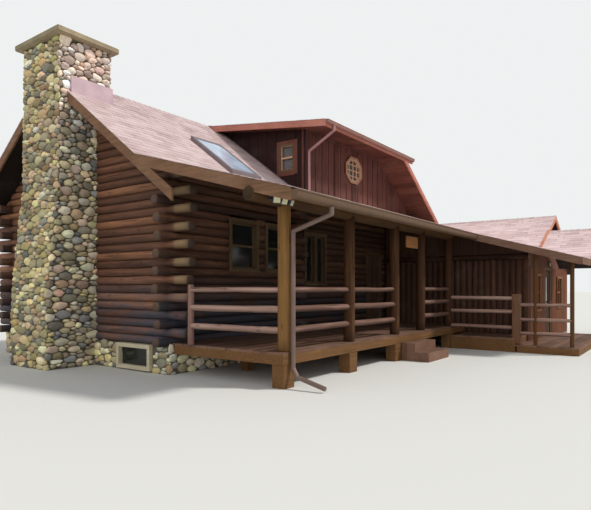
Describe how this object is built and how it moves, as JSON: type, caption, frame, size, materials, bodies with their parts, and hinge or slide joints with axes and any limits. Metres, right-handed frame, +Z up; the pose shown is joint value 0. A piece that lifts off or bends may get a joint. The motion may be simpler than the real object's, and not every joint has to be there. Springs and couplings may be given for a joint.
{
  "type": "log cabin",
  "caption": "Log cabin with a cobble chimney on its gable, a shed dormer over a railed log porch, and a low gabled wing with its own canopy.",
  "frame": {"origin": "on the ground, at the middle of the main block's footprint (the middle of its foundation's underside)", "axes": "+X along the main ridge from the chimney gable towards the wing, +Y from the porch towards the back, +Z up"},
  "size_m": [14.78, 11.67, 6.3157],
  "materials": {
    "cobbles": "rounded field stones in raked mortar",
    "concrete": "cast, weathered",
    "flashing_metal": "painted, weathered",
    "log_wood": "stained logs, weathered",
    "floor_boards": "sawn boards",
    "deck_boards": "stained boards",
    "deck_timber": "stained timber",
    "shingles": "mineral faced shingles, faded",
    "barge_wood": "stained boards",
    "dormer_boards": "stained boards and battens",
    "gutter_metal": "satin paint",
    "post_wood": "peeled logs, stained",
    "rail_wood": "peeled logs, weathered",
    "window_wood": "stained frame",
    "cream_paint": "paint",
    "window_glass": "clear",
    "curb_metal": "satin paint",
    "plaque_wood": "varnished",
    "lamp_plastic": "matte",
    "wing_boards": "stained boards",
    "gable_boards": "stained boards",
    "door_wood": "stained planks",
    "knob_brass": "worn"
  },
  "bodies": {
    "cabin": {"foundation": "cobbles", "chimney_stack": "cobbles", "chimney_cap": "concrete", "wing_floor": "concrete", "chimney_flashing": "flashing_metal", "gable_log_wall": "log_wood", "front_log_wall": "log_wood", "front_wall_over_door": "log_wood", "back_log_wall": "log_wood", "right_log_wall": "log_wood", "crossing_log_ends": "log_wood", "wing_side_wall": "log_wood", "main_floor": "floor_boards", "porch_deck": "deck_boards", "walkway_deck": "deck_boards", "porch_steps": "deck_boards", "deck_frame": "deck_timber", "walkway_frame": "deck_timber", "main_roof_front": "shingles", "main_roof_back": "shingles", "dormer_roof": "shingles", "end_roof": "shingles", "porch_roof": "shingles", "canopy_roof": "shingles", "wing_roof_left": "shingles", "wing_roof_right": "shingles", "barge_boards": "barge_wood", "canopy_barge": "barge_wood", "canopy_fascia": "barge_wood", "wing_barge": "barge_wood", "dormer_front_wall": "dormer_boards", "dormer_side_wall": "dormer_boards", "dormer_fascia": "dormer_boards", "gutters": "gutter_metal", "downspouts": "gutter_metal", "porch_posts": "post_wood", "porch_beam": "post_wood", "walkway_posts": "post_wood", "porch_rails": "rail_wood", "walkway_rails": "rail_wood", "window_frames": "window_wood", "door_frames": "window_wood", "basement_frame": "cream_paint", "window_glass": "window_glass", "skylight_glass": "window_glass", "skylight_curb": "curb_metal", "plaque": "plaque_wood", "lamps": "lamp_plastic", "wing_front_walls": "wing_boards", "wing_right_wall": "wing_boards", "wing_back_wall": "wing_boards", "wing_gable": "gable_boards"},
    "porch_door_leaf": {"porch_door": "door_wood", "porch_door_knobs": "knob_brass"},
    "wing_door_leaf": {"wing_door": "door_wood", "wing_door_knobs": "knob_brass"}
  },
  "joints": [
    {"name": "porch_door_hinge", "type": "hinge", "parent": "cabin", "child": "porch_door_leaf", "pos_m": [2.119, -2.685, 0.57], "axis": [0, 0, 1], "range_deg": [0, 90]},
    {"name": "wing_door_hinge", "type": "hinge", "parent": "cabin", "child": "wing_door_leaf", "pos_m": [5.079, -6.715, 0.112], "axis": [0, 0, 1], "range_deg": [0, 90]}
  ]
}
